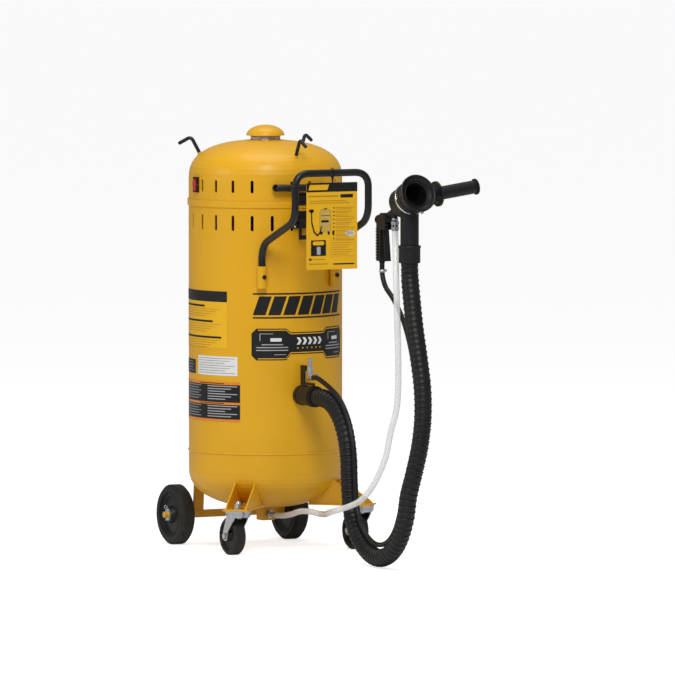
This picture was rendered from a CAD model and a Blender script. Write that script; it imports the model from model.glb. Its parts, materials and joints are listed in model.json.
"""Looks of the portable abrasive blast vacuum: finishes, hoses, bent tubes, graphics and trim."""

import json
import logging
from collections.abc import Callable, Sequence
from dataclasses import dataclass, field
from enum import Enum
from math import ceil, cos, exp, pi, radians, sin

import bmesh
import bpy
from mathutils import Matrix, Vector


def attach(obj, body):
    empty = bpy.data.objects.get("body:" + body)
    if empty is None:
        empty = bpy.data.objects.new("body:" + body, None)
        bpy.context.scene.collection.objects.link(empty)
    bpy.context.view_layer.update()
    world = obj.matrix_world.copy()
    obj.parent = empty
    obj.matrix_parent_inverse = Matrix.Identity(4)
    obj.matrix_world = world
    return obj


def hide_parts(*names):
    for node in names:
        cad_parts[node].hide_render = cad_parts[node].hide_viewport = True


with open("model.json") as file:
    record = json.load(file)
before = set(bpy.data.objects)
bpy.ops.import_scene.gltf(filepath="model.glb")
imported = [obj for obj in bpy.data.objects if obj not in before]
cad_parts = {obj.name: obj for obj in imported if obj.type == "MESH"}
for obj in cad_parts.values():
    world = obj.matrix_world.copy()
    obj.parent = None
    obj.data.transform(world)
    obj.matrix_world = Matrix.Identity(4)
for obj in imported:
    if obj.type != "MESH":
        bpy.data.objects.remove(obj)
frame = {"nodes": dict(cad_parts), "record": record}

LOG = logging.getLogger("blast_vacuum")
MM = 0.001
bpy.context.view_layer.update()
Colour = tuple[float, float, float]
Point = tuple[float, float, float]
Flat = tuple[float, float]
Outline = Sequence[Flat]

YELLOW: Colour = (0.78, 0.405, 0.007)
LABEL_YELLOW: Colour = (0.86, 0.47, 0.012)
INK: Colour = (0.011, 0.011, 0.0115)
ORANGE: Colour = (0.8, 0.24, 0.02)
PAPER_WHITE: Colour = (0.8, 0.8, 0.78)
DUST = (0.3, 0.27, 0.22, 1.0)
DUST_HEIGHT = 0.16
TANK_R = 0.2032
FACING_STEP = 0.006  # the widest facet of a sheet that is wrapped round the tank
AXIS_R = 0.0001  # a solid lathe outline stops this far from its axis


class Side(Enum):
    """A side of the machine, by the sign of its X."""

    LEFT = -1
    RIGHT = 1


class Wire:
    """A node's output that can be used in a Python expression."""

    def __init__(self, graph: "Graph", socket: bpy.types.NodeSocket) -> None:
        """Wraps a socket.

        Args:
            graph: The graph that the socket belongs to.
            socket: The output socket.
        """
        self.graph = graph
        self.socket = socket

    def of(self, operation: str, *values: "Wire | float") -> "Wire":
        """Adds a Math node on this value and others."""
        return self.graph.node("ShaderNodeMath", {"operation": operation}, self, *values)

    def __add__(self, other: "Wire | float") -> "Wire":
        """Sum."""
        return self.of("ADD", other)

    __radd__ = __add__

    def __mul__(self, other: "Wire | float") -> "Wire":
        """Product."""
        return self.of("MULTIPLY", other)

    __rmul__ = __mul__

    def __sub__(self, other: "Wire | float") -> "Wire":
        """Difference."""
        return self.of("SUBTRACT", other)

    def __rsub__(self, other: float) -> "Wire":
        """Reflected difference."""
        return self.graph.node("ShaderNodeMath", {"operation": "SUBTRACT"}, other, self)

    def __truediv__(self, other: "Wire | float") -> "Wire":
        """Quotient."""
        return self.of("DIVIDE", other)


class Graph:
    """A node tree, for shaders and for Geometry Nodes, with one way to add a node."""

    def __init__(self, tree: bpy.types.NodeTree) -> None:
        """Wraps a node tree.

        Args:
            tree: The tree to add nodes to.
        """
        self.tree = tree

    def raw(self, kind: str, settings: dict[str, object] | None = None, *values: object,
            **named: object) -> bpy.types.Node:
        """Adds a node and returns it.

        Args:
            kind: The node's type.
            settings: Properties set first, such as an operation.
            *values: Values or links of the sockets, in order; None leaves one alone.
            **named: Values or links by socket name, with _ for a space.

        Returns:
            The new node.
        """
        made = self.tree.nodes.new(kind)
        for name, value in (settings or {}).items():
            setattr(made, name, value)
        pairs = list(zip(made.inputs, values))
        pairs += [(made.inputs[name.replace("_", " ")], value) for name, value in named.items()]
        for socket, value in pairs:
            if isinstance(value, Wire):
                self.tree.links.new(value.socket, socket)
            elif value is not None:
                socket.default_value = value
        return made

    def node(self, kind: str, settings: dict[str, object] | None = None, *values: object,
             out: int | str = 0, **named: object) -> Wire:
        """Adds a node and returns one of its outputs, as raw() does with its node."""
        return Wire(self, self.raw(kind, settings, *values, **named).outputs[out])

    def ramp(self, factor: Wire, stops: Sequence[tuple[float, Colour]]) -> Wire:
        """Adds a colour ramp.

        Args:
            factor: What the ramp follows.
            stops: Positions and colours.

        Returns:
            The ramp's colour.
        """
        made = self.raw("ShaderNodeValToRGB", None, factor)
        points = made.color_ramp.elements
        while len(points) < len(stops):
            points.new(1.0)
        for point, (place, colour) in zip(points, stops):
            point.position = place
            point.color = (*colour, 1)
        return Wire(self, made.outputs["Color"])


def new_material(name: str) -> tuple[bpy.types.Material, Graph]:
    """An empty material and its graph."""
    material = bpy.data.materials.new(name)
    material.use_nodes = True
    material.node_tree.nodes.clear()
    return material, Graph(material.node_tree)


@dataclass(frozen=True)
class Finish:
    """A surface: colour that varies a little, roughness that varies, and a fine relief.

    Sizes are in metres. A relief's depth is how far it seems to stand out.
    """

    name: str
    colour: Colour
    roughness: float = 0.4
    metallic: float = 0.0
    coat: float = 0.0
    shade: float = 0.12
    blotch: float = 0.05
    grain: float = 0.0008
    relief: float = 0.00002
    rough_swing: float = 0.08
    brushed: Point = (1.0, 1.0, 1.0)
    dust: float = 0.0
    gloss: float = 0.5

    def make(self) -> bpy.types.Material:
        """Builds the material."""
        material, graph = new_material(self.name)
        place = graph.node("ShaderNodeTexCoord", None, out="Object")
        broad = graph.node("ShaderNodeTexNoise", None, place, Scale=1 / self.blotch, Detail=3.0)
        stretched = graph.node("ShaderNodeMapping", None, place, Scale=self.brushed)
        fine = graph.node("ShaderNodeTexNoise", None, stretched, Scale=1 / self.grain, Detail=2.0)
        dark = tuple(c * (1 - self.shade) for c in self.colour)
        light = tuple(min(1.0, c * (1 + self.shade * 0.6)) for c in self.colour)
        base = graph.ramp(broad, [(0.3, dark), (0.7, light)])
        if self.dust:
            up = graph.node("ShaderNodeSeparateXYZ", None, place, out="Z")
            low = (1 - up / DUST_HEIGHT).of("MAXIMUM", 0.0) * broad * self.dust
            between = [None] * 5
            base = graph.node("ShaderNodeMix", {"data_type": "RGBA"}, low, *between, base, DUST, out=2)
        rough = (self.roughness - self.rough_swing / 2) + broad * self.rough_swing
        bump = graph.node("ShaderNodeBump", None, Strength=0.6, Distance=self.relief, Height=fine)
        shader = graph.node("ShaderNodeBsdfPrincipled", None, Base_Color=base, Roughness=rough, Normal=bump,
                            Metallic=self.metallic, Coat_Weight=self.coat, Coat_Roughness=0.12,
                            Specular_IOR_Level=self.gloss)
        graph.raw("ShaderNodeOutputMaterial", None, shader)
        return material


@dataclass(frozen=True)
class ClearTube:
    """Clear flexible hose, milky at its edges, with amber-tinted media inside."""

    name: str = "clear_tube"

    def make(self) -> bpy.types.Material:
        """Builds the material."""
        material, graph = new_material(self.name)
        place = graph.node("ShaderNodeTexCoord", None, out="Object")
        cloud = graph.node("ShaderNodeTexNoise", None, place, Scale=35.0, Detail=3.0)
        edge = graph.node("ShaderNodeLayerWeight", None, out="Facing", Blend=0.35)
        rim = edge.of("POWER", 3.0)
        stops = [(0.2, (0.93, 0.93, 0.93)), (0.45, (0.86, 0.84, 0.8)), (0.85, (0.55, 0.42, 0.2))]
        colour = graph.ramp(rim + cloud * 0.25, stops)
        shader = graph.node("ShaderNodeBsdfPrincipled", None, Base_Color=colour, Roughness=0.12 + cloud * 0.1,
                            Alpha=0.55 + edge * 0.4, Coat_Weight=0.6)
        graph.raw("ShaderNodeOutputMaterial", None, shader)
        return material


def print_finish(name: str, colour: Colour) -> Finish:
    """A plain printed colour."""
    return Finish(name, colour, 0.45, shade=0.05, relief=0.00001)


FINISHES = (
    Finish("yellow_paint", YELLOW, 0.44, coat=0.12, shade=0.04, blotch=0.18, grain=0.0016, relief=0.00003,
           dust=0.25, gloss=0.35),
    Finish("black_paint", (0.011, 0.0115, 0.012), 0.36, coat=0.05, shade=0.2, grain=0.0009, relief=0.00004,
           gloss=0.32),
    Finish("black_plastic", (0.01, 0.01, 0.0105), 0.42, shade=0.2, blotch=0.03, grain=0.0007, relief=0.00006,
           gloss=0.3),
    Finish("black_rubber", (0.009, 0.009, 0.009), 0.44, shade=0.25, blotch=0.03, grain=0.0012, relief=0.00005,
           rough_swing=0.16, gloss=0.3),
    Finish("wheel_rubber", (0.011, 0.011, 0.0105), 0.55, shade=0.3, blotch=0.02, grain=0.001, relief=0.00008,
           rough_swing=0.2, dust=0.1, gloss=0.3),
    Finish("zinc", (0.58, 0.6, 0.62), 0.3, metallic=1.0, shade=0.14, blotch=0.02, grain=0.0006, rough_swing=0.14),
    Finish("steel", (0.52, 0.52, 0.53), 0.27, metallic=1.0, shade=0.1, blotch=0.02, grain=0.0006, brushed=(1, 1, 12)),
    Finish("chrome", (0.72, 0.73, 0.74), 0.14, metallic=1.0, shade=0.06, blotch=0.03, rough_swing=0.05,
           relief=0.00001),
    Finish("filter_paper", (0.72, 0.69, 0.6), 0.85, shade=0.15, blotch=0.03, relief=0.0001),
    Finish("red_plastic", (0.52, 0.01, 0.014), 0.28, coat=0.3, shade=0.1, blotch=0.02),
    ClearTube("clear_hose"),
    Finish("card", LABEL_YELLOW, 0.45, shade=0.03, relief=0.00001, gloss=0.3),
    Finish("card_pale", (0.62, 0.4, 0.08), 0.42, coat=0.2, shade=0.1, blotch=0.01, relief=0.00001),
    Finish("ink", INK, 0.42, shade=0.1, relief=0.00001, gloss=0.3),
    Finish("label_yellow", LABEL_YELLOW, 0.45, shade=0.03, relief=0.00001, gloss=0.3),
    Finish("label_white", PAPER_WHITE, 0.45, shade=0.04, relief=0.00001),
    Finish("label_orange", ORANGE, 0.42, shade=0.05, relief=0.00001),
    print_finish("label_grey", (0.26, 0.26, 0.26)),
    print_finish("label_pale", (0.42, 0.42, 0.42)),
    print_finish("label_faint", (0.46, 0.25, 0.015)),
)


@dataclass
class Paintbox:
    """Every finish, made once."""

    finishes: dict[str, Finish | ClearTube]
    made: dict[str, bpy.types.Material] = field(default_factory=dict)

    def get(self, name: str) -> bpy.types.Material:
        """The material of that name, built when it is first asked for."""
        if name not in self.made:
            self.made[name] = self.finishes[name].make()
        return self.made[name]


PAINTS = Paintbox({finish.name: finish for finish in FINISHES})
RECORD_SLOTS = {"chrome": "zinc", **dict.fromkeys(
    ("ink", "card_pale", "label_yellow", "label_white", "label_orange", "label_grey", "label_pale",
     "label_faint"), "card")}


def finish_piece(piece: bpy.types.Object, paint: str, body: str, *stands_for: str, smooth: bool = True,
                 slot: str | None = None) -> bpy.types.Object:
    """Gives a piece its material, body and record slot.

    Args:
        piece: The new object.
        paint: The finish's name.
        body: The body that it rides on.
        *stands_for: CAD nodes that it replaces.
        smooth: Whether its faces are shaded smooth.
        slot: The record's slot, where it isn't the finish's own.

    Returns:
        The piece.
    """
    piece.data.materials.clear()
    piece.data.materials.append(PAINTS.get(paint))
    if smooth:
        piece.data.shade_smooth()
    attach(piece, body)
    if stands_for:
        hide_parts(*stands_for)
    slot or RECORD_SLOTS.get(paint, paint)
    LOG.info("piece %s on %s", piece.name, body)
    return piece


def shift(x: float, y: float, z: float) -> Matrix:
    """A move."""
    return Matrix.Translation((x, y, z))


def rotation(degrees: float, axis: str) -> Matrix:
    """A turn round an axis."""
    return Matrix.Rotation(radians(degrees), 4, axis)


def placed_object(name: str, data: bpy.types.ID) -> bpy.types.Object:
    """A new object in the scene."""
    made = bpy.data.objects.new(name, data)
    bpy.context.scene.collection.objects.link(made)
    return made


def mesh_object(name: str, work: bmesh.types.BMesh) -> bpy.types.Object:
    """A new object of a working mesh, with its normals outwards."""
    bmesh.ops.recalc_face_normals(work, faces=work.faces)
    mesh = bpy.data.meshes.new(name)
    work.to_mesh(mesh)
    work.free()
    return placed_object(name, mesh)


def add_mesh(name: str, points: Sequence[Sequence[float]], faces: Sequence[Sequence[int]]) -> bpy.types.Object:
    """Makes an object from points and faces."""
    mesh = bpy.data.meshes.new(name)
    mesh.from_pydata([tuple(p) for p in points], [], [tuple(f) for f in faces])
    work = bmesh.new()
    work.from_mesh(mesh)
    bpy.data.meshes.remove(mesh)
    bmesh.ops.remove_doubles(work, verts=work.verts, dist=1e-6)
    return mesh_object(name, work)


def smooth_path(points: Sequence[Point], step: float) -> list[Vector]:
    """A Catmull-Rom curve through points, with a point about every step."""
    nodes = [Vector(p) for p in points]
    nodes = [2 * nodes[0] - nodes[1], *nodes, 2 * nodes[-1] - nodes[-2]]
    dense: list[Vector] = []
    parts = 16
    for a, b, c, d in zip(nodes, nodes[1:], nodes[2:], nodes[3:]):
        for t in (i / parts for i in range(parts)):
            dense.append(0.5 * (2 * b + (c - a) * t + (2 * a - 5 * b + 4 * c - d) * t * t
                                + (3 * b - a - 3 * c + d) * t ** 3))
    dense.append(nodes[-2])
    return resample(dense, step)


def resample(line: Sequence[Vector], step: float) -> list[Vector]:
    """The same line with evenly spaced points."""
    along = [0.0]
    for a, b in zip(line, line[1:]):
        along.append(along[-1] + (b - a).length)
    count = max(2, round(along[-1] / step))
    result, k = [], 0
    for i in range(count + 1):
        want = along[-1] * i / count
        while k < len(line) - 2 and along[k + 1] < want:
            k += 1
        share = (want - along[k]) / max(along[k + 1] - along[k], 1e-9)
        result.append(line[k].lerp(line[k + 1], min(1.0, share)))
    return result


def tube(name: str, path: Sequence[Vector], radius: Callable[[float], float], sides: int,
         round_ends: bool = False) -> bpy.types.Object:
    """A closed tube along a path.

    Args:
        name: The object's name.
        path: The centreline.
        radius: The radius at a distance along it.
        sides: How many points each ring has.
        round_ends: Whether its ends are domed.

    Returns:
        The tube.
    """
    path = list(path)
    count = len(path)
    ways = [(path[min(i + 1, count - 1)] - path[max(i - 1, 0)]).normalized() for i in range(count)]
    side = ways[0].orthogonal().normalized()
    points: list[Vector] = []
    faces: list[tuple[int, ...]] = []
    rings: list[tuple[Vector, Vector, Vector, float]] = []
    run = 0.0
    for i, (place, way) in enumerate(zip(path, ways)):
        run += (place - path[i - 1]).length if i else 0.0
        side = (side - way * side.dot(way)).normalized()
        rings.append((place, side, way.cross(side), radius(run)))
    if round_ends:
        for end, sign in ((0, -1), (-1, 1)):
            place, u, v, r = rings[end]
            caps = [(place + ways[end] * (sign * r * sin(a)), u, v, r * cos(a))
                    for a in (radians(30), radians(58), radians(80))]
            rings = caps[::-1] + rings if end == 0 else rings + caps
    for place, u, v, r in rings:
        points += [place + r * (cos(a) * u + sin(a) * v)
                   for a in (2 * pi * k / sides for k in range(sides))]
    for i in range(len(rings) - 1):
        for k in range(sides):
            n = (k + 1) % sides
            faces.append((i * sides + k, i * sides + n, (i + 1) * sides + n, (i + 1) * sides + k))
    faces.append(tuple(range(sides)))
    faces.append(tuple(range((len(rings) - 1) * sides, len(rings) * sides)))
    return add_mesh(name, points, faces)


def lathe(name: str, outline: Outline, place: Matrix, sides: int = 64) -> bpy.types.Object:
    """Spins a closed outline of (radius, height) points round the local Z axis of a placement."""
    points, faces = [], []
    count = len(outline)
    for i in range(sides):
        a = 2 * pi * i / sides
        points += [place @ Vector((r * cos(a), r * sin(a), z)) for r, z in outline]
    for i in range(sides):
        j = (i + 1) % sides
        for k in range(count):
            n = (k + 1) % count
            faces.append((i * count + k, j * count + k, j * count + n, i * count + n))
    return add_mesh(name, points, faces)


def eased(points: Sequence[Point], start: float) -> list[Vector]:
    """The points of a path with each corner rounded off by a short curve."""
    line = [Vector(p) for p in points]
    result = [line[0]]
    for a, b, c in zip(line, line[1:], line[2:]):
        u, v = (b - a).normalized(), (c - b).normalized()
        for k in range(13):
            t = k / 12
            result.append(b - u * start * (1 - t) ** 2 + v * start * t * t)
    result.append(line[-1])
    return result


def sheet(name: str, outline: Outline, back: float, paint: str, body: str,
          thick: float = 0.0003, wrapped: bool = False) -> bpy.types.Object:
    """A thin sheet that faces the front of the machine, flat or wrapped round the tank.

    Args:
        name: The object's name.
        outline: Points of (x, z), in metres; on a wrapped sheet x runs round the tank from its front.
        back: The Y of its back, which on a wrapped sheet starts at the tank's surface.
        paint: The finish's name.
        body: The body that it rides on.
        thick: Its thickness.
        wrapped: Whether it follows the tank.

    Returns:
        The sheet.
    """
    work = bmesh.new()
    work.faces.new([work.verts.new((x, back, z)) for x, z in outline])
    if wrapped:
        low, high = min(x for x, _ in outline), max(x for x, _ in outline)
        for k in range(1, ceil((high - low) / FACING_STEP)):
            bmesh.ops.bisect_plane(work, geom=work.verts[:] + work.edges[:] + work.faces[:],
                                   plane_co=(low + k * FACING_STEP, 0, 0), plane_no=(1, 0, 0))
    front = bmesh.ops.extrude_face_region(work, geom=work.faces[:])
    corners = [v for v in front["geom"] if isinstance(v, bmesh.types.BMVert)]
    bmesh.ops.translate(work, vec=(0, -thick, 0), verts=corners)
    if wrapped:
        for v in work.verts:
            a, r = v.co.x / TANK_R, TANK_R - v.co.y
            v.co = Vector((r * sin(a), -r * cos(a), v.co.z))
    return finish_piece(mesh_object(name, work), paint, body, smooth=False)


def box(x0: float, x1: float, z0: float, z1: float, r: float = 0.0) -> list[Flat]:
    """The outline of a rectangle, with rounded corners if r is given."""
    if r <= 0:
        return [(x0, z0), (x1, z0), (x1, z1), (x0, z1)]
    points, parts = [], 5
    for cx, cz, start in ((x1 - r, z0 + r, -90), (x1 - r, z1 - r, 0), (x0 + r, z1 - r, 90), (x0 + r, z0 + r, 180)):
        turns = [radians(start + 90 * k / parts) for k in range(parts + 1)]
        points += [(cx + r * cos(a), cz + r * sin(a)) for a in turns]
    return points


def joined(pieces: Sequence[bpy.types.Object]) -> bpy.types.Object:
    """Joins raw objects into the first one."""
    work = bmesh.new()
    for piece in pieces:
        work.from_mesh(piece.data)
    work.to_mesh(pieces[0].data)
    work.free()
    for piece in pieces[1:]:
        bpy.data.objects.remove(piece)
    return pieces[0]


class Repeats:
    """Geometry Nodes trees for what repeats, baked to plain meshes."""

    @staticmethod
    def _tree(name: str, inputs: Sequence[tuple[str, str, float]]) -> tuple[Graph, bpy.types.Node]:
        """Starts a tree with named inputs."""
        tree = bpy.data.node_groups.new(name, "GeometryNodeTree")
        tree.interface.new_socket("Geometry", in_out="OUTPUT", socket_type="NodeSocketGeometry")
        for label, kind, value in inputs:
            socket = tree.interface.new_socket(label, in_out="INPUT", socket_type=kind)
            socket.default_value = value
        graph = Graph(tree)
        return graph, graph.raw("NodeGroupInput")

    @staticmethod
    def _bake(graph: Graph, shape: Wire, name: str, paint: str, place: Matrix) -> bpy.types.Object:
        """Ends a tree with Realize Instances and Set Material and turns its result into a plain mesh."""
        real = graph.node("GeometryNodeRealizeInstances", None, shape)
        painted = graph.node("GeometryNodeSetMaterial", None, real, Material=PAINTS.get(paint))
        graph.raw("NodeGroupOutput", None, painted)
        host = placed_object(name + "_host", bpy.data.meshes.new(name + "_host"))
        host.modifiers.new("repeat", "NODES").node_group = graph.tree
        mesh = bpy.data.meshes.new_from_object(host.evaluated_get(bpy.context.evaluated_depsgraph_get()))
        mesh.transform(place)
        mesh.name = name
        bpy.data.objects.remove(host)
        return placed_object(name, mesh)

    @classmethod
    def links(cls, name: str, count: int, radius: float, width: float, height: float, wire: float,
              paint: str, place: Matrix) -> bpy.types.Object:
        """A ring of upright diamond links, as in expanded mesh.

        Args:
            name: The piece's name.
            count: How many links.
            radius: The ring's radius.
            width: A link's width.
            height: A link's height.
            wire: The strand's radius.
            paint: The finish's name.
            place: Where the ring's centre is.

        Returns:
            The baked ring.
        """
        sizes = (("Radius", radius), ("Width", width), ("Height", height), ("Strand", wire))
        graph, given = cls._tree(name, [("Count", "NodeSocketInt", count)]
                                 + [(label, "NodeSocketFloat", value) for label, value in sizes])
        get = {s.name: Wire(graph, s) for s in given.outputs if s.name}
        ring = graph.node("GeometryNodeMeshCircle", None, get["Count"], get["Radius"])
        diamond = graph.node("GeometryNodeCurvePrimitiveQuadrilateral", {"mode": "KITE"}, Width=get["Width"],
                             Bottom_Height=get["Height"] * 0.5, Top_Height=get["Height"] * 0.5)
        strand = graph.node("GeometryNodeCurvePrimitiveCircle", None, Resolution=5, Radius=get["Strand"])
        link = graph.node("GeometryNodeCurveToMesh", None, diamond, strand)
        turn = graph.node("GeometryNodeInputIndex") * (2 * pi) / get["Count"] + pi / 2
        facing = graph.node("ShaderNodeCombineXYZ", None, pi / 2, 0.0, turn)
        placed = graph.node("GeometryNodeInstanceOnPoints", None, Points=ring, Instance=link, Rotation=facing)
        return cls._bake(graph, placed, name, paint, place)

    @classmethod
    def bars(cls, name: str, count: int, step: Point, size: Point, paint: str, place: Matrix) -> bpy.types.Object:
        """A row of small bars, such as ribs.

        Args:
            name: The piece's name.
            count: How many bars.
            step: The way from each to the next.
            size: A bar's size.
            paint: The finish's name.
            place: Where the first bar's centre is.

        Returns:
            The baked row.
        """
        graph, given = cls._tree(name, [("Count", "NodeSocketInt", count)])
        get = Wire(graph, given.outputs["Count"])
        row = graph.node("GeometryNodeMeshLine", None, Count=get, Offset=step)
        block = graph.node("GeometryNodeMeshCube", None, size)
        placed = graph.node("GeometryNodeInstanceOnPoints", None, Points=row, Instance=block)
        return cls._bake(graph, placed, name, paint, place)


@dataclass
class Studio:
    """The camera, the floor and the lights."""

    azimuth: float = -28.0
    elevation: float = 3.8
    lens: float = 500.0
    view_width: float = 1.78875
    right: float = 0.1908
    up: float = 0.5574
    fill: float = 0.3
    floor_glow: float = 0.68
    floor_half: float = 60.0
    aim: Point = (0, -0.2, 0.6)

    def camera(self) -> None:
        """Sets the camera at the product's usual three-quarter view."""
        data = bpy.data.cameras.new("camera")
        data.lens = self.lens
        data.sensor_width = 36.0
        far = self.view_width * self.lens / data.sensor_width
        a, e = radians(self.azimuth), radians(self.elevation)
        back = Vector((sin(a) * cos(e), -cos(a) * cos(e), sin(e)))
        aim = Vector((cos(a), sin(a), 0)) * self.right + Vector((0, 0, self.up))
        camera = placed_object("camera", data)
        camera.rotation_mode = "QUATERNION"
        camera.location = aim + back * far
        camera.rotation_quaternion = (-back).to_track_quat("-Z", "Y")
        data.clip_start, data.clip_end = 0.1, far * 4
        bpy.context.scene.camera = camera

    def light(self, name: str, place: Point, size: float, power: float) -> None:
        """Adds one soft box that faces the machine."""
        data = bpy.data.lights.new(name, "AREA")
        data.shape, data.size, data.energy = "DISK", size, power
        lamp = placed_object(name, data)
        lamp.location = place
        lamp.rotation_mode = "QUATERNION"
        lamp.rotation_quaternion = (Vector(self.aim) - Vector(place)).to_track_quat("-Z", "Y")

    def build(self) -> None:
        """Makes the floor, the world and the lights."""
        h = self.floor_half
        floor = add_mesh("floor", [(-h, -h, 0), (h, -h, 0), (h, h, 0), (-h, h, 0)], [(0, 1, 2, 3)])
        material = bpy.data.materials.new("floor")
        material.use_nodes = True
        shader = material.node_tree.nodes["Principled BSDF"]
        shader.inputs["Base Color"].default_value = (0.9, 0.9, 0.9, 1)
        shader.inputs["Roughness"].default_value = 0.9
        glow = Graph(material.node_tree).node("ShaderNodeLightPath", None, out="Is Camera Ray")
        material.node_tree.links.new(glow.socket, shader.inputs["Emission Color"])
        shader.inputs["Emission Strength"].default_value = self.floor_glow
        floor.data.materials.append(material)
        world = bpy.data.worlds.new("studio")
        world.use_nodes = True
        seen = Graph(world.node_tree).node("ShaderNodeLightPath", None, out="Is Camera Ray")
        background = world.node_tree.nodes["Background"]
        background.inputs["Color"].default_value = (1, 1, 1, 1)
        world.node_tree.links.new((seen * (1.0 - self.fill) + self.fill).socket, background.inputs["Strength"])
        bpy.context.scene.world = world
        self.light("key", (-1.5, -3.2, 3.5), 1.7, 92)
        self.light("top", (0.1, 0.1, 4.0), 2.2, 38)
        self.light("side", (-3.4, 0.2, 1.9), 1.6, 20)
        bpy.context.scene.view_settings.view_transform = "Standard"


@dataclass
class Hoses:
    """The three hoses, on the routes that the frame's own solids follow."""

    vacuum_d: float = 0.048
    rib_pitch: float = 0.0156
    rib_depth: float = 0.0042
    air_d: float = 0.013
    media_d: float = 0.016
    vacuum_route: list[Point] = field(default_factory=lambda: [
        (0, -293, 418), (0, -330, 417), (-1, -365, 411), (-3, -400, 397), (-5, -432, 374),
        (-7, -458, 344), (-9, -477, 307), (-10, -488, 262), (-11, -492, 214), (-12, -506, 138),
        (-15, -545, 79), (-18, -604, 40), (-23, -673, 26), (-27, -742, 40), (-31, -800, 79),
        (-33, -840, 138), (-33, -858, 200), (-24, -870, 258), (-9, -873, 325), (5, -864, 398),
        (15, -844, 472), (22, -812, 549), (29, -776, 626), (40, -739, 700), (48, -715, 750),
        (50, -709, 791)])
    air_route: list[Point] = field(default_factory=lambda: [
        (0, -263, 468), (0, -296, 467), (0, -330, 458), (-1, -373, 444), (-3, -416, 426),
        (-5, -454, 398), (-7, -485, 362), (-9, -508, 318), (-10, -520, 268), (-11, -526, 214),
        (-12, -536, 150), (-15, -568, 102), (-18, -616, 71), (-23, -673, 60), (-27, -730, 71),
        (-31, -777, 102), (-33, -809, 150), (-33, -825, 203), (-24, -837, 258), (-9, -840, 325),
        (5, -832, 393), (15, -813, 463), (22, -782, 535), (31, -738, 598), (42, -682, 650),
        (47, -627, 692), (49, -580, 722), (50, -561, 752), (50, -559, 784)])
    media_route: list[Point] = field(default_factory=lambda: [
        (0, -56, 90), (0, -95, 91), (0, -145, 98), (-1, -200, 110), (-3, -260, 114), (-8, -325, 113),
        (-26, -390, 118), (-47, -448, 127), (-58, -505, 137), (-54, -560, 150), (-44, -603, 166),
        (-35, -637, 190), (-25, -664, 225), (-10, -689, 285), (0, -699, 352), (14, -704, 410),
        (20, -703, 468), (22, -699, 555), (24, -691, 643), (33, -668, 740), (46, -640, 830),
        (50, -630, 871)])

    def metres(self, route: Sequence[Point], step: float) -> list[Vector]:
        """A route as a smooth line in metres."""
        return smooth_path([(x * MM, y * MM, z * MM) for x, y, z in route], step)

    def ribbed(self, run: float) -> float:
        """The vacuum hose's radius at a distance along it: broad bands, each with a raised ridge and a groove."""
        share = (run / self.rib_pitch) % 1.0
        ridge = exp(-((share - 0.8) / 0.085) ** 2)
        groove = exp(-((share - 0.97) / 0.06) ** 2) + exp(-((share + 0.03) / 0.06) ** 2)
        return self.vacuum_d / 2 - self.rib_depth * (0.42 - 0.42 * ridge + 0.58 * min(1.0, groove))

    def build(self) -> None:
        step = self.rib_pitch / 14
        self.lay("vacuum_hose", self.metres(self.vacuum_route, step), self.ribbed, 40, self.vacuum_d,
                 "black_rubber", "stiff")
        for node, route, thick, paint in (("air_hose", self.air_route, self.air_d, "black_rubber"),
                                          ("media_hose", self.media_route, self.media_d, "clear_hose")):
            self.lay(node, self.metres(route, 0.006), lambda run, r=thick / 2: r, 20, thick, paint, "medium")

    @staticmethod
    def lay(node: str, line: list[Vector], radius: Callable[[float], float], sides: int, thick: float,
            paint: str, stiffness: str) -> None:
        """Makes and declares one hose.

        Args:
            node: The CAD node that it replaces.
            line: Its centreline.
            radius: Its radius at a distance along it.
            sides: How many points each ring has.
            thick: Its diameter.
            paint: The finish's name.
            stiffness: How stiff it is.
        """
        hose = tube(node + "_skin", line, radius, sides)
        finish_piece(hose, paint, "root", node)


@dataclass
class BentTubes:
    """The push handle and the hose hooks, with smooth bends."""

    half: float = 0.108
    leg: list[Flat] = field(default_factory=lambda: [
        (-0.187, 0.702), (-0.187, 0.815), (-0.375, 0.887), (-0.375, 1.01)])
    hook: list[Point] = field(default_factory=lambda: [(0.1725, 0, 1.043), (0.197, 0, 1.09), (0.227, 0, 1.073)])
    weld: Point = (0.174, 0, 1.045)
    handle_r: float = 0.0095
    hook_r: float = 0.00475

    def build(self) -> None:
        """Makes the tubes."""
        corners = [(-self.half, y, z) for y, z in self.leg] + [(self.half, y, z) for y, z in reversed(self.leg)]
        handle = tube("handle_tube", resample(eased(corners, 0.04), 0.004), lambda run: self.handle_r, 32)
        finish_piece(handle, "black_paint", "root", "push_handle")
        hooks, collars = [], []
        collar = [(0.0042, -0.001), (0.0076, -0.001), (0.0064, 0.0016), (0.0052, 0.0032), (0.0042, 0.0036)]
        for k in range(3):
            spin = rotation(-90 + 120 * k, "Z")
            path = [spin @ p for p in resample(eased(self.hook, 0.012), 0.0015)]
            hooks.append(tube(f"hook_rods_{k}", path, lambda run: self.hook_r, 20, round_ends=True))
            tilt = spin @ shift(*self.weld) @ rotation(30, "Y")
            collars.append(lathe(f"hook_welds_{k}", collar, tilt, 24))
        finish_piece(joined(hooks), "black_paint", "lid", "lid_hooks")
        finish_piece(joined(collars), "yellow_paint", "lid")


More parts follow.
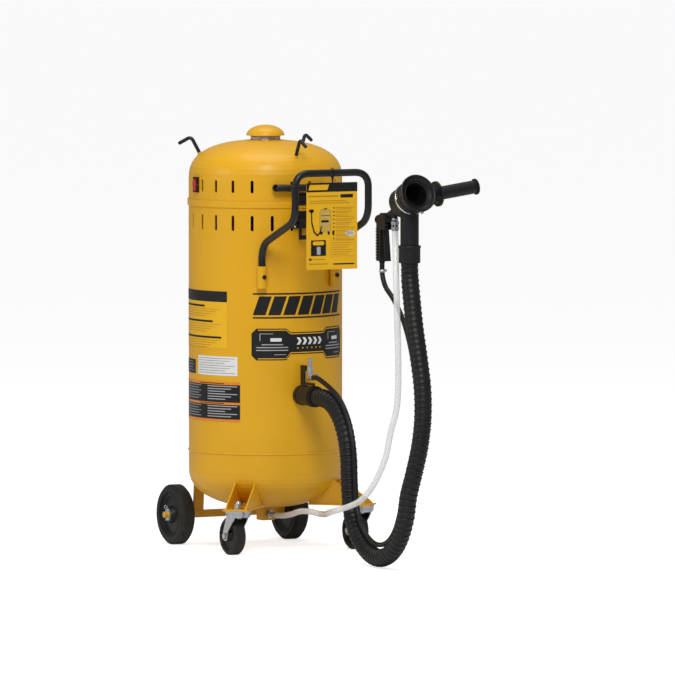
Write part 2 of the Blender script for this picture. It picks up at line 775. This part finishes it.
@dataclass
class VentTop:
    """The vent band's expanded mesh and its inner backing."""

    base: float = 1.0826
    height: float = 0.0114
    radius: float = 0.0384
    count: int = 26

    def build(self) -> None:
        """Makes the mesh band."""
        width = 2 * pi * self.radius / self.count
        middle = shift(0, 0, self.base + self.height / 2)
        half_turn = rotation(180 / self.count, "Z")
        pieces = [Repeats.links(f"vent_links_{k}", self.count, self.radius, width, self.height - 0.0012, 0.001,
                                "chrome", place)
                  for k, place in enumerate((middle, middle @ half_turn))]
        here = Matrix.Identity(4)
        top = self.base + self.height
        for low in (self.base, top - 0.001):
            pieces.append(lathe("vent_rim", box(0.0374, 0.0392, low, low + 0.001), here, 72))
        back = lathe("vent_back", box(0.035, 0.0362, self.base, top), here, 48)
        finish_piece(joined(pieces), "chrome", "lid", "vent_band")
        finish_piece(back, "black_plastic", "lid")


@dataclass
class TankGraphics:
    """Plain printed shapes on the shell, with no lettering."""

    lift: float = 0.0002
    layer_step: float = 0.00035

    @staticmethod
    def arc(degrees: float) -> float:
        """The distance round the tank of an angle to the right of the front."""
        return TANK_R * radians(degrees)

    def shape(self, name: str, outline: Outline, paint: str, layer: int = 0) -> None:
        """One printed shape on the shell."""
        sheet(name, outline, -self.lift - self.layer_step * layer, paint, "root", wrapped=True)

    def patch(self, name: str, left: float, right: float, low: float, high: float, paint: str,
              layer: int = 0, corner: float = 0.0) -> None:
        """A rectangle between two angles and two heights."""
        self.shape(name, box(self.arc(left), self.arc(right), low, high, corner), paint, layer)

    def banner(self) -> None:
        """The upper banner: a row of slanted blocks between two lines."""
        left, right, low, high, lean = -37.0, 47.0, 0.6295, 0.679, 0.017
        for k, z in enumerate((0.6835, 0.6205)):
            self.patch(f"banner_line_{k}", left, right, z, z + 0.004, "ink")
        count, gap = 7, 0.007
        start, end = self.arc(left), self.arc(right)
        width = (end - start - lean) / count
        for k in range(count):
            x = start + k * width
            self.shape(f"banner_block_{k}", [(x, low), (x + width - gap, low), (x + width - gap + lean, high),
                                             (x + lean, high)], "ink")

    def badge_outline(self, grow: float) -> list[Flat]:
        """The outline of the waisted badge, larger by grow."""
        left, right = self.arc(-38) - grow, self.arc(48) + grow
        waist_l, waist_r, slope = self.arc(-8.5), self.arc(20.5), 0.013
        low, high, in_low, in_high = 0.5105 - grow, 0.594 + grow, 0.526 - grow, 0.584 + grow
        cut = 0.013
        return [(left + cut, low), (waist_l - slope, low), (waist_l, in_low), (waist_r, in_low),
                (waist_r + slope, low), (right - cut, low), (right, low + cut), (right, high - cut),
                (right - cut, high), (waist_r + slope, high), (waist_r, in_high), (waist_l, in_high),
                (waist_l - slope, high), (left + cut, high), (left, high - cut), (left, low + cut)]

    def badge(self) -> None:
        """The waisted badge with pinstripes and plain marks."""
        self.shape("badge_edge", self.badge_outline(0.0), "ink")
        outer, inner = self.badge_outline(-0.003), self.badge_outline(-0.0052)
        for name, first, last in (("low", 0, 6), ("high", 8, 14)):
            self.shape(f"badge_stripe_{name}", outer[first:last] + inner[first:last][::-1], "label_yellow", 1)
        for k, (a, b, block) in enumerate(((-33.0, -12.0, -24.0), (25.0, 43.0, 31.0))):
            self.patch(f"badge_chip_{k}", block, block + 8.5, 0.56, 0.569, "label_white", 1, 0.002)
            self.patch(f"badge_corner_top_{k}", a + 1, a + 11, 0.5795, 0.581, "label_pale", 1)
            self.patch(f"badge_corner_side_{k}", a + 1, a + 1.6, 0.562, 0.581, "label_pale", 1)
            self.patch(f"badge_corner_low_{k}", b - 9, b, 0.5245, 0.526, "label_pale", 1)
            for j in range(3):
                inset = 4.0 if j == 0 else 0.0
                self.patch(f"badge_rule_{k}_{j}", a - 1.5 + inset, b + 1.5 - inset, 0.5505 - 0.0075 * j,
                           0.553 - 0.0075 * j, "label_pale", 1)
        for k in range(5):
            x = self.arc(-3.8) + k * 0.0165
            self.shape(f"badge_chevron_{k}", [(x, 0.551), (x + 0.008, 0.551), (x + 0.0145, 0.5605),
                                              (x + 0.008, 0.57), (x, 0.57), (x + 0.0065, 0.5605)],
                       "label_white", 1)
        for k in range(6):
            x = self.arc(-3.4) + k * 0.0142
            self.shape(f"badge_mark_{k}", box(x, x + 0.0035, 0.5405, 0.544), "label_yellow", 1)

    def side_labels(self) -> None:
        """The labels on the left side: coloured fields and rules."""
        self.patch("care_label", -118, -57.4, 0.5405, 0.69, "label_yellow")
        self.patch("care_header", -118, -57.4, 0.662, 0.69, "ink", 1)
        for k, (z, right) in enumerate(((0.6475, -79.5), (0.6075, -70.5), (0.5655, -62.5))):
            self.patch(f"care_bar_{k}", -115, right, z, z + 0.0052, "ink", 1)
            for j in range(4):
                low = z - 0.006 - 0.0062 * j
                self.patch(f"care_rule_{k}_{j}", -114, -63.5 - 4.5 * j, low, low + 0.0012, "label_faint", 1)
        self.patch("data_plate", -88, -48.8, 0.468, 0.5185, "label_white", 0, 0.001)
        for j in range(7):
            low = 0.512 - 0.0064 * j
            self.patch(f"data_rule_{j}", -86.5, -51 - 4 * (j % 3), low, low + 0.0014, "label_grey", 1)
        self.patch("mark_small", -118, -92.5, 0.469, 0.506, "ink", 0, 0.001)
        for j in range(4):
            low = 0.476 + 0.0076 * j
            self.patch(f"mark_rule_{j}", -116, -95 - 2 * (j % 2), low, low + 0.0018, "label_grey", 1)
        self.patch("notice_label", -115, -46.8, 0.347, 0.4505, "ink")
        for k, (low, high) in enumerate(((0.444, 0.4505), (0.3915, 0.3975), (0.347, 0.353))):
            self.patch(f"notice_strip_{k}", -115, -46.8, low, high, "label_orange", 1)
            if k < 2:
                self.patch(f"notice_strip_rule_{k}", -86, -60, low + 0.0022, low + 0.0042, "ink", 2)
        for k, (top, count) in enumerate(((0.4385, 6), (0.386, 5))):
            for j in range(count):
                low = top - 0.0068 * j
                self.patch(f"notice_rule_{k}_{j}", -111, -84 - 3 * (j % 2), low, low + 0.0024, "label_grey", 1)
                self.patch(f"notice_rule_right_{k}_{j}", -76, -49 - 5 * (j % 3), low, low + 0.0024, "label_pale", 1)

    def build(self) -> None:
        """Makes every printed shape on the shell."""
        self.banner()
        self.badge()
        self.side_labels()


@dataclass
class TagGraphics:
    """The hang tag: its card, its tie, and a print of a header, a small drawing of the machine and rules."""

    front: float = -0.3756
    bar_z: float = 1.01
    tie_r: float = 0.0118

    def shape(self, name: str, outline: Outline, paint: str, layer: int = 0) -> None:
        """One printed shape on the tag's face."""
        sheet(f"tag_{name}", outline, self.front - 0.0001 - 0.00025 * layer, paint, "tag")

    def row(self, name: str, x0: float, x1: float, z0: float, z1: float, paint: str, layer: int = 0,
            corner: float = 0.0) -> None:
        """One printed rectangle."""
        self.shape(name, box(x0, x1, z0, z1, corner), paint, layer)

    def card(self) -> None:
        """The card itself and the thin tie that holds it on the bar."""
        card = sheet("tag_card", box(-0.075, 0.075, 0.758, 0.985, 0.002), self.front + 0.0012, "card", "tag", 0.0012)
        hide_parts("hang_tag")
        x, y = 0.002, -0.375
        turns = (radians(-172 + 344 * k / 40) for k in range(41))
        loop = [Vector((x, y + self.tie_r * sin(a), self.bar_z + self.tie_r * cos(a) * 1.12)) for a in turns]
        line = resample([Vector((x, y - 0.0022, 0.974)), *loop, Vector((x, y + 0.0022, 0.974))], 0.0012)
        tie = tube("tag_tie", line, lambda run: 0.0011, 12, round_ends=True)
        finish_piece(tie, "black_plastic", "tag", "hang_tag")
        knot = tube("tag_tie_knot", [Vector((x, y, z)) for z in (0.9925, 0.9985)], lambda run: 0.0028, 12,
                    round_ends=True)
        finish_piece(knot, "black_plastic", "tag")

    def drawing(self) -> None:
        """The small drawing of the machine."""
        self.row("drawing_tank", -0.037, -0.002, 0.856, 0.916, "label_faint", 0, 0.009)
        self.row("drawing_face", -0.036, -0.003, 0.857, 0.915, "card_pale", 1, 0.0085)
        self.row("drawing_band", -0.032, -0.01, 0.881, 0.887, "ink", 2)
        self.row("drawing_slots", -0.033, -0.006, 0.8985, 0.9, "ink", 2)
        self.row("drawing_vent", -0.0235, -0.0155, 0.9155, 0.9185, "ink", 1, 0.001)
        for k, x in enumerate((-0.034, -0.013, 0.0005)):
            self.row(f"drawing_wheel_{k}", x, x + 0.0062, 0.849, 0.858, "ink", 2, 0.0029)
        hose = [(-0.0625, 0.912), (-0.059, 0.912), (-0.0585, 0.883), (-0.052, 0.86), (-0.0445, 0.85),
                (-0.037, 0.856), (-0.033, 0.872), (-0.03, 0.872), (-0.034, 0.853), (-0.044, 0.845),
                (-0.055, 0.856), (-0.0615, 0.88)]
        self.shape("drawing_hose", hose, "ink", 3)
        self.row("drawing_head", -0.068, -0.054, 0.908, 0.916, "ink", 3, 0.003)

    def build(self) -> None:
        """Makes the card and its print."""
        self.card()
        self.row("header", -0.075, 0.075, 0.961, 0.985, "ink", 0, 0.002)
        self.shape("header_mark", [(-0.07, 0.966), (-0.014, 0.966), (-0.009, 0.98), (-0.065, 0.98)], "label_yellow", 1)
        self.row("title_rule", -0.07, 0.02, 0.948, 0.9515, "label_faint")
        self.row("title_chip", 0.025, 0.062, 0.945, 0.954, "ink", 0, 0.001)
        for k in range(2):
            low = 0.9365 - 0.0055 * k
            self.row(f"lead_rule_{k}", -0.066, 0.042 + 0.01 * k, low, low + 0.0018, "label_faint")
        self.drawing()
        for k in range(9):
            z = 0.9165 - 0.01 * k
            self.row(f"bullet_{k}", 0.0035, 0.0075, z, z + 0.004, "ink", 0, 0.0019)
            for j in range(2):
                low = z + 0.0022 - 0.004 * j
                self.row(f"bullet_rule_{k}_{j}", 0.011, 0.066 - 0.008 * ((k + j) % 3), low, low + 0.0014,
                         "label_faint")
        self.row("inset", -0.062, -0.018, 0.794, 0.835, "ink", 0, 0.001)
        self.row("inset_top", -0.057, -0.023, 0.822, 0.832, "label_yellow", 1, 0.0045)
        self.row("inset_core", -0.045, -0.034, 0.797, 0.818, "label_pale", 1, 0.002)
        self.row("button", 0.04, 0.066, 0.845, 0.858, "label_white", 0, 0.004)
        self.row("button_face", 0.0425, 0.0635, 0.8475, 0.8555, "label_pale", 1, 0.003)
        self.row("note_edge", -0.004, 0.066, 0.792, 0.833, "label_faint")
        self.row("note_face", -0.0034, 0.0654, 0.7926, 0.8324, "card", 1)
        for k in range(6):
            low = 0.8265 - 0.006 * k
            self.row(f"note_rule_{k}", 0.000, 0.062 - 0.007 * (k % 3), low, low + 0.0015, "label_faint", 2)
        self.row("foot_block", -0.068, -0.06, 0.7825, 0.7875, "ink")
        self.row("foot_rule", -0.056, -0.02, 0.784, 0.786, "label_faint")
        self.row("foot_line", -0.068, -0.012, 0.7715, 0.774, "label_faint")
        self.row("foot_bar", 0.004, 0.066, 0.77, 0.7735, "ink")


def turned(name: str, outline: Outline, place: Matrix, paint: str, sides: int = 64,
           smooth: bool = True) -> bpy.types.Object:
    """A finished lathe piece that rides on the frame."""
    return finish_piece(lathe(name, outline, place, sides), paint, "root", smooth=smooth)


def clamp_screw(length: float, shank: float, head: float, end: float) -> list[Flat]:
    """The outline of a small clamp's screw."""
    return [(AXIS_R, -length), (shank, -length), (shank, 0.006), (head, end), (head, 0.01), (AXIS_R, 0.01)]


@dataclass
class HeadTrim:
    """What stands on the blast head and gun: band clamp, ribs, fittings, clamps and knurls."""

    x: float = 0.05
    front: float = 0.709
    axis_z: float = 0.956
    tilt: float = 20.0

    def cup_place(self) -> Matrix:
        """The cup's own frame, with Z out of its mouth."""
        return self.at(0, 0, self.axis_z) @ rotation(90 - self.tilt, "X")

    def at(self, x: float, y: float, z: float) -> Matrix:
        """A place measured from the head's tube."""
        return shift(self.x + x, -self.front + y, z)

    def build(self) -> None:
        """Makes the trim."""
        self.cup_trim(self.cup_place())
        self.gun_trim()
        grip = self.at(0, 0, self.axis_z) @ rotation(82, "Y")
        rings = []
        for k in range(11):
            z = 0.092 + 0.0086 * k
            outline = [(0.0168, z), (0.0176, z + 0.001), (0.0176, z + 0.005), (0.0168, z + 0.006)]
            rings.append(lathe(f"side_grip_rings_{k}", outline, grip, 48))
        finish_piece(joined(rings), "black_plastic", "root")
        turned("cuff_lip", [(0.0279, 0.829), (0.0292, 0.829), (0.0292, 0.835), (0.0279, 0.8358)], self.at(0, 0, 0),
               "black_rubber")

    def cup_trim(self, cup: Matrix) -> None:
        """Makes what goes round the cup: its sleeve, its band clamp with a screw, and its inner ring."""
        turned("cup_sleeve", [(0.0401, -0.006), (0.0425, -0.006), (0.0432, -0.004), (0.0432, 0.018),
                              (0.044, 0.0242), (0.0401, 0.0242)], cup, "black_rubber", 72)
        turned("band_clamp", [(0.0431, 0.0000), (0.0442, 0.0000), (0.0444, 0.008), (0.0431, 0.008)], cup, "chrome", 72)
        screw = cup @ rotation(40, "Z") @ shift(0.004, -0.0475, 0.004) @ rotation(90, "Y")
        turned("band_clamp_screw", [(AXIS_R, -0.01), (0.0035, -0.01), (0.0042, -0.006), (0.003, -0.0055),
                                    (0.003, 0.008), (0.005, 0.0085), (0.005, 0.013), (AXIS_R, 0.013)], screw,
               "chrome", 20)
        turned("cup_inner_ring", [(0.0305, 0.0355), (0.0336, 0.0355), (0.0336, 0.0388), (0.0322, 0.0398),
                                  (0.0305, 0.0388)], cup, "black_rubber")

    def gun_trim(self) -> None:
        """Makes the gun's ribs, fittings, hose clamp and knurled knob."""
        count, rise = 11, (0, 0, 0.0075)
        ribs = [Repeats.bars("grip_ribs", count, rise, (0.017, 0.004, 0.003), "black_plastic",
                             self.at(0, 0.1625, 0.796))]
        ribs += [Repeats.bars(f"grip_side_ribs_{k}", count, rise, (0.004, 0.0105, 0.003), "black_plastic",
                              self.at(end.value * 0.0118, 0.1555, 0.796)) for k, end in enumerate(Side)]
        finish_piece(joined(ribs), "black_plastic", "root", smooth=False)
        media = self.at(0, 0.079, 0)
        turned("media_fitting", [(0.0091, 0.872), (0.0112, 0.872), (0.0112, 0.88), (0.01, 0.881), (0.01, 0.885),
                                 (0.0118, 0.886), (0.0118, 0.8945), (0.0091, 0.8945)], media, "zinc", 6, smooth=False)
        turned("media_elbow_ring", box(0.0071, 0.0088, 0.897, 0.903), media, "zinc", 32)
        turned("hose_clamp_gun", box(0.0066, 0.0076, -0.004, 0.004), self.at(0, 0.15, 0.7625), "zinc", 32)
        clamp = self.at(0.0085, 0.15, 0.7625) @ rotation(55, "Z") @ rotation(90, "Y")
        turned("hose_clamp_gun_screw", clamp_screw(0.003, 0.0028, 0.0042, 0.0065), clamp, "zinc", 16)
        knob = self.at(0, 0.1615, 0.895) @ rotation(-90, "X")
        knurl, ridges, ridge = [], 20, box(AXIS_R, 0.0011, -0.0062, 0.0062)
        for k in range(ridges):
            a = 2 * pi * k / ridges
            edge = knob @ shift(0.0119 * cos(a), 0.0119 * sin(a), 0)
            knurl.append(lathe(f"knob_knurl_{k}", ridge, edge, 8))
        finish_piece(joined(knurl), "black_plastic", "root")


@dataclass
class TankTrim:
    """Small parts on the tank: the cuff's ring, hose clamps, latch rivets and the wheels' moulded rings."""

    port_z: float = 0.418
    air_z: float = 0.468
    outlet_z: float = 0.09
    wheel: Point = (0.171, 0.19, 0.08)
    wheel_face: float = 0.0196

    @staticmethod
    def forward(z: float) -> Matrix:
        """A place in the middle of the tank at a height, with its Z towards the front."""
        return shift(0, 0, z) @ rotation(90, "X")

    def build(self) -> None:
        """Makes the trim."""
        turned("cuff_rings", [(0.0259, 0.212), (0.0272, 0.213), (0.0272, 0.219), (0.0259, 0.22)],
               self.forward(self.port_z), "black_rubber")
        turned("air_clamp", box(0.0066, 0.0079, 0.264, 0.271), self.forward(self.air_z), "zinc", 32)
        screw = shift(0.0095, -0.2675, 0.47) @ Matrix.Rotation(0.5, 4, "Y")
        turned("air_clamp_screw", clamp_screw(0.006, 0.0026, 0.004, 0.0062), screw, "zinc", 16)
        turned("media_clamp", box(0.0081, 0.0092, 0.06, 0.068), self.forward(self.outlet_z), "zinc", 32)
        rivet = [(AXIS_R, 0), (0.0034, 0), (0.003, 0.0012), (0.0016, 0.002), (AXIS_R, 0.0021)]
        spots = ((-0.021, 0.862), (0.021, 0.862), (-0.0205, 0.898), (0.0205, 0.898))
        rivets = [lathe(f"latch_rivets_{k}", rivet, shift(x, -0.209, 0) @ self.forward(z), 20)
                  for k, (x, z) in enumerate(spots)]
        finish_piece(joined(rivets), "chrome", "root")
        for end in Side:
            side, (x, y, z) = end.name.lower(), self.wheel
            turn = shift(end.value * x, y, z) @ rotation(90, "Y")
            rings = []
            for face in (-1, 1):
                low, mid, high = (face * (self.wheel_face + d) for d in (-0.0006, 0.0, 0.0016))
                for k, r in enumerate((0.056, 0.069)):
                    outline = [(r, mid), (r + 0.0022, high), (r + 0.0044, mid), (r + 0.0022, low)]
                    rings.append(lathe(f"wheel_rings_{side}_{face}_{k}", outline, turn, 72))
            finish_piece(joined(rings), "wheel_rubber", f"wheel_{side}")


def dress_frame() -> None:
    """Gives every carried-over CAD node the finish of its record slot."""
    slots = {entry["node"]: entry["material_slot"] for entry in frame["record"]["subparts"]}
    for node, piece in frame["nodes"].items():
        paint = PAINTS.get(slots[node])
        if not piece.material_slots:
            piece.data.materials.append(paint)
        for slot in piece.material_slots:
            slot.material = paint


def main() -> None:
    """Builds everything in order."""
    logging.basicConfig(level=logging.INFO, format="%(name)s %(message)s")
    studio = Studio()
    studio.camera()
    Hoses().build()
    studio.build()
    dress_frame()
    BentTubes().build()
    VentTop().build()
    TankGraphics().build()
    TagGraphics().build()
    HeadTrim().build()
    TankTrim().build()


if __name__ == "__main__":
    main()
